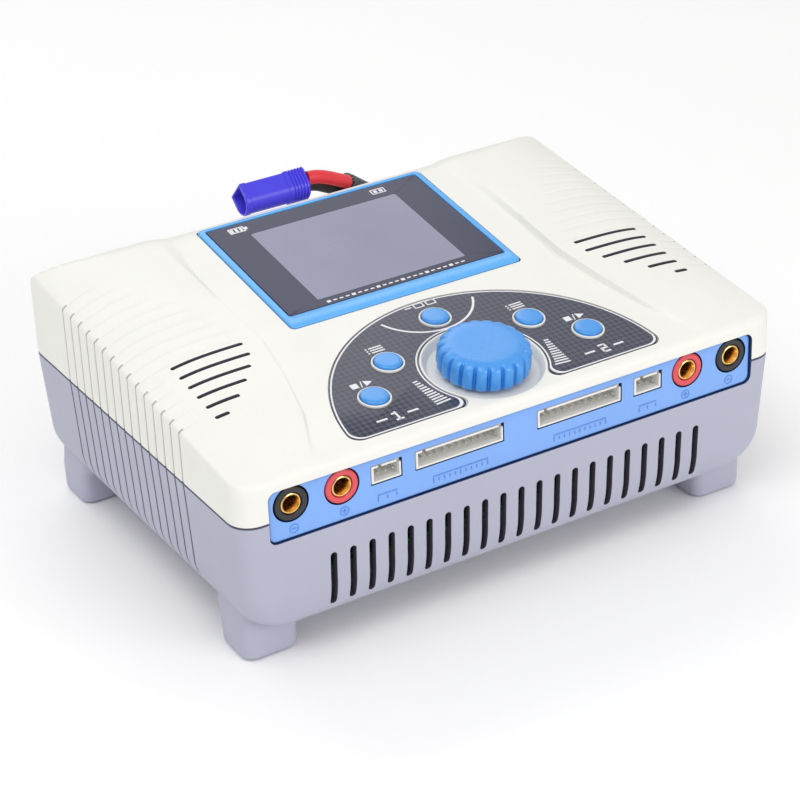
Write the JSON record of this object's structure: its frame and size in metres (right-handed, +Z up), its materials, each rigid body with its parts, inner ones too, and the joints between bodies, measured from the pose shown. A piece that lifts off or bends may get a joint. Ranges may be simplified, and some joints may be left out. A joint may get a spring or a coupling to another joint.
{
  "type": "balance battery charger",
  "caption": "Desktop balance charger with a sloped control deck, display, press buttons, push-to-select jog dial, front sockets and a short input lead.",
  "frame": {"origin": "on the surface the feet stand on, under the middle of the case", "axes": "+X to the right of someone facing the control deck, +Y to the fans at the rear, +Z up; the front panel faces -Y"},
  "size_m": [0.188, 0.1735, 0.0869],
  "materials": {
    "cream_plastic": "satin moulded",
    "grey_plastic": "satin moulded",
    "blue_plastic": "semi-gloss moulded",
    "button_plastic": "glossy cap",
    "display_glass": "smoked clear cover",
    "label_film": "printed film",
    "connector_plastic": "moulded nylon",
    "red_plastic": "moulded",
    "black_plastic": "moulded",
    "gilt_brass": "gilt",
    "steel": "plated",
    "aluminium": "extruded",
    "copper_winding": "enamelled winding",
    "circuit_board": "soldermask",
    "plug_plastic": "moulded nylon",
    "red_silicone": "soft insulation",
    "black_silicone": "soft insulation",
    "braided_sleeve": "woven"
  },
  "bodies": {
    "case": {"balance_header_1": "connector_plastic", "balance_header_2": "connector_plastic", "balance_pins_1": "steel", "balance_pins_2": "steel", "bottom_case": "grey_plastic", "buzzer": "black_plastic", "cable_gland": "black_plastic", "capacitor_left": "black_plastic", "capacitor_right": "black_plastic", "case_screw_front_left": "steel", "case_screw_front_right": "steel", "case_screw_rear_left": "steel", "case_screw_rear_right": "steel", "control_board": "circuit_board", "control_label": "label_film", "display_frame": "blue_plastic", "display_window": "display_glass", "encoder_body": "steel", "fan_frame_left": "black_plastic", "fan_frame_right": "black_plastic", "front_panel": "blue_plastic", "heatsink": "aluminium", "inductor_left": "copper_winding", "inductor_right": "copper_winding", "input_lead_sleeve": "braided_sleeve", "input_wire_black": "black_silicone", "input_wire_red": "red_silicone", "lcd_module": "black_plastic", "main_board": "circuit_board", "output_contact_1_minus": "gilt_brass", "output_contact_1_plus": "gilt_brass", "output_contact_2_minus": "gilt_brass", "output_contact_2_plus": "gilt_brass", "output_socket_1_minus": "black_plastic", "output_socket_1_plus": "red_plastic", "output_socket_2_minus": "black_plastic", "output_socket_2_plus": "red_plastic", "plug_contact_minus": "gilt_brass", "plug_contact_plus": "gilt_brass", "plug_housing": "plug_plastic", "switch_start_1": "black_plastic", "switch_start_2": "black_plastic", "switch_status_1": "black_plastic", "switch_status_2": "black_plastic", "switch_tab": "black_plastic", "temp_header_1": "connector_plastic", "temp_header_2": "connector_plastic", "temp_pins_1": "steel", "temp_pins_2": "steel", "top_case": "cream_plastic"},
    "tab_cap": {"button_tab": "button_plastic"},
    "status_cap_1": {"button_status_1": "button_plastic"},
    "status_cap_2": {"button_status_2": "button_plastic"},
    "start_cap_1": {"button_start_1": "button_plastic"},
    "start_cap_2": {"button_start_2": "button_plastic"},
    "press_rod": {"encoder_plunger": "black_plastic"},
    "jog": {"jog_knob": "button_plastic", "encoder_shaft": "aluminium"},
    "rotor_left": {"fan_rotor_left": "black_plastic"},
    "rotor_right": {"fan_rotor_right": "black_plastic"}
  },
  "joints": [
    {"name": "tab_press", "type": "slide", "parent": "case", "child": "tab_cap", "axis": [0, 0.1447, -0.9895], "range_m": [0, 0.0005], "stiffness_N_per_m": 3000, "springref_m": -0.0002},
    {"name": "status_press_1", "type": "slide", "parent": "case", "child": "status_cap_1", "axis": [0, 0.1447, -0.9895], "range_m": [0, 0.0005], "stiffness_N_per_m": 3000, "springref_m": -0.0002},
    {"name": "status_press_2", "type": "slide", "parent": "case", "child": "status_cap_2", "axis": [0, 0.1447, -0.9895], "range_m": [0, 0.0005], "stiffness_N_per_m": 3000, "springref_m": -0.0002},
    {"name": "start_press_1", "type": "slide", "parent": "case", "child": "start_cap_1", "axis": [0, 0.1447, -0.9895], "range_m": [0, 0.0005], "stiffness_N_per_m": 3000, "springref_m": -0.0002},
    {"name": "start_press_2", "type": "slide", "parent": "case", "child": "start_cap_2", "axis": [0, 0.1447, -0.9895], "range_m": [0, 0.0005], "stiffness_N_per_m": 3000, "springref_m": -0.0002},
    {"name": "jog_press", "type": "slide", "parent": "case", "child": "press_rod", "axis": [0, 0.1447, -0.9895], "range_m": [0, 0.0005], "stiffness_N_per_m": 6000, "springref_m": -0.0002},
    {"name": "jog_turn", "type": "hinge", "parent": "press_rod", "child": "jog", "pos_m": [0, -0.04972, 0.06712], "axis": [0, -0.1447, 0.9895], "continuous": true},
    {"name": "fan_spin_left", "type": "hinge", "parent": "case", "child": "rotor_left", "pos_m": [-0.053, 0.055, 0.0323], "axis": [0, 1, 0], "continuous": true},
    {"name": "fan_spin_right", "type": "hinge", "parent": "case", "child": "rotor_right", "pos_m": [0.053, 0.055, 0.0323], "axis": [0, 1, 0], "continuous": true}
  ]
}
